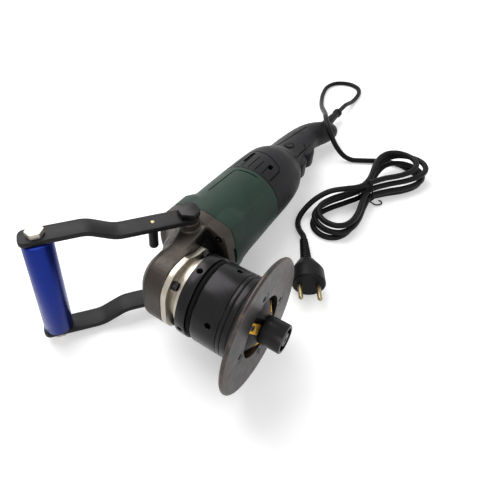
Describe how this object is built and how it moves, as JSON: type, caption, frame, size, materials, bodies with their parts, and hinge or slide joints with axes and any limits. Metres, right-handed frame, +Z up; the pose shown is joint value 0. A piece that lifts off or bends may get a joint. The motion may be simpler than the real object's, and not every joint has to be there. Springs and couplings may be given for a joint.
{
  "type": "edge beveling machine",
  "caption": "Hand-held electric edge beveling machine: right-angle gear head, insert cutter with guide roller, screw-adjusted guide plate, forked front handle, trigger grip and tied mains lead.",
  "frame": {"origin": "centre of the bounding box's bottom, on the surface that the machine lies on, measured without the mains lead", "axes": "+X along the motor from the front handle's end to the tail, +Y from the cutter's end towards the back of the gear head, +Z up from the surface"},
  "size_m": [0.666, 0.263, 0.1442],
  "materials": {
    "cast_alloy": "cast, fine bead-blasted, taupe grey",
    "bright_steel": "turned, bright",
    "black_steel": "black oxide, satin",
    "tinted_steel": "hardened, brown-grey heat tint",
    "inner_steel": "ground",
    "coated_carbide": "gold coating, ground",
    "copper": "enamelled copper",
    "brass": "turned",
    "carbon": "pressed carbon",
    "blue_aluminium": "blue anodised, turned",
    "green_plastic": "fine spark-eroded texture",
    "charcoal_plastic": "fine spark-eroded texture",
    "black_plastic": "moulded, satin",
    "black_rubber": "moulded, matt"
  },
  "bodies": {
    "root": {"gear_housing": "cast_alloy", "cover_plate": "bright_steel", "threaded_collar": "bright_steel", "cover_screw_1": "black_steel", "cover_screw_2": "black_steel", "cover_screw_3": "black_steel", "cover_screw_4": "black_steel", "motor_housing": "green_plastic", "housing_screw_1": "black_steel", "housing_screw_2": "black_steel", "housing_screw_3": "black_steel", "housing_screw_4": "black_steel", "rear_housing_left": "charcoal_plastic", "rear_housing_right": "charcoal_plastic", "spindle_bearing": "inner_steel", "front_bearing": "inner_steel", "rear_bearing": "inner_steel", "stator_core": "inner_steel", "field_windings": "copper", "brush_carrier": "brass", "carbon_brush_1": "carbon", "carbon_brush_2": "carbon", "side_bolt_1": "black_steel", "side_bolt_2": "black_steel", "switch_module": "charcoal_plastic", "cord_guard": "black_rubber", "power_cord": "black_rubber", "cord_hank": "black_rubber", "cord_tie": "black_plastic", "plug": "black_plastic"},
    "rotor": {"rotor_shaft": "inner_steel", "rotor_core": "inner_steel", "commutator": "copper", "fan": "charcoal_plastic"},
    "spindle": {"spindle": "inner_steel", "crown_gear": "inner_steel", "cutter_body": "black_steel", "cutter_insert_1": "coated_carbide", "cutter_insert_2": "coated_carbide", "cutter_insert_3": "coated_carbide", "center_screw": "inner_steel"},
    "roller": {"guide_roller": "black_steel"},
    "lock_ring": {"lock_ring": "black_steel"},
    "depth_stage": {"rubber_ring": "black_rubber"},
    "depth_sleeve": {"depth_sleeve": "black_steel", "guide_plate": "tinted_steel", "plate_screw_1": "black_steel", "plate_screw_2": "black_steel", "plate_screw_3": "black_steel", "plate_screw_4": "black_steel"},
    "handle": {"upper_arm": "black_steel", "lower_arm": "black_steel", "grip_tube": "blue_aluminium", "grip_bolt_1": "bright_steel", "grip_bolt_2": "bright_steel", "stop_pin_1": "brass", "stop_pin_2": "brass"},
    "trigger": {"trigger": "charcoal_plastic"},
    "side_button": {"side_button": "charcoal_plastic"},
    "spindle_lock": {"spindle_lock_button": "black_steel"}
  },
  "joints": [
    {"name": "rotor_spin", "type": "hinge", "parent": "root", "child": "rotor", "pos_m": [-0.17155, 0.01292, 0.06479], "axis": [-0.9938, 0, 0.1113], "continuous": true},
    {"name": "spindle_spin", "type": "hinge", "parent": "root", "child": "spindle", "pos_m": [-0.17155, 0.01292, 0.06479], "axis": [-0.0012, 0.9999, -0.0107], "continuous": true},
    {"name": "roller_spin", "type": "hinge", "parent": "spindle", "child": "roller", "pos_m": [-0.17142, -0.09447, 0.06594], "axis": [-0.0012, 0.9999, -0.0107], "continuous": true},
    {"name": "lock_ring_turn", "type": "hinge", "parent": "root", "child": "lock_ring", "pos_m": [-0.17149, -0.03638, 0.06532], "axis": [-0.0012, 0.9999, -0.0107], "range_deg": [0, 45]},
    {"name": "depth_travel", "type": "slide", "parent": "root", "child": "depth_stage", "axis": [0.0012, -0.9999, 0.0107], "range_m": [0, 0.008]},
    {"name": "sleeve_turn", "type": "hinge", "parent": "depth_stage", "child": "depth_sleeve", "pos_m": [-0.17149, -0.04108, 0.06537], "axis": [-0.0012, 0.9999, -0.0107], "range_deg": [0, 1440]},
    {"name": "handle_tilt", "type": "hinge", "parent": "root", "child": "handle", "pos_m": [-0.13488, 0.01292, 0.06068], "axis": [-0.1113, -0.0108, -0.9937], "range_deg": [0, 50]},
    {"name": "trigger_pull", "type": "hinge", "parent": "root", "child": "trigger", "pos_m": [0.07096, -0.00608, 0.03783], "axis": [0.1113, 0.0108, 0.9937], "range_deg": [0, 5], "stiffness_Nm_per_rad": 2, "springref_deg": -5.73},
    {"name": "side_button_press", "type": "slide", "parent": "root", "child": "side_button", "axis": [-0.1113, -0.0108, -0.9937], "range_m": [0, 0.0025], "stiffness_N_per_m": 300, "springref_m": -0.002},
    {"name": "spindle_lock_press", "type": "slide", "parent": "root", "child": "spindle_lock", "axis": [0.0012, -0.9999, 0.0107], "range_m": [0, 0.003], "stiffness_N_per_m": 300, "springref_m": -0.003}
  ],
  "couplings": [
    {"joint": "spindle_spin", "follows": "rotor_spin", "ratio": -0.26667},
    {"joint": "depth_travel", "follows": "sleeve_turn", "m_per_rad": 0.0003183}
  ]
}
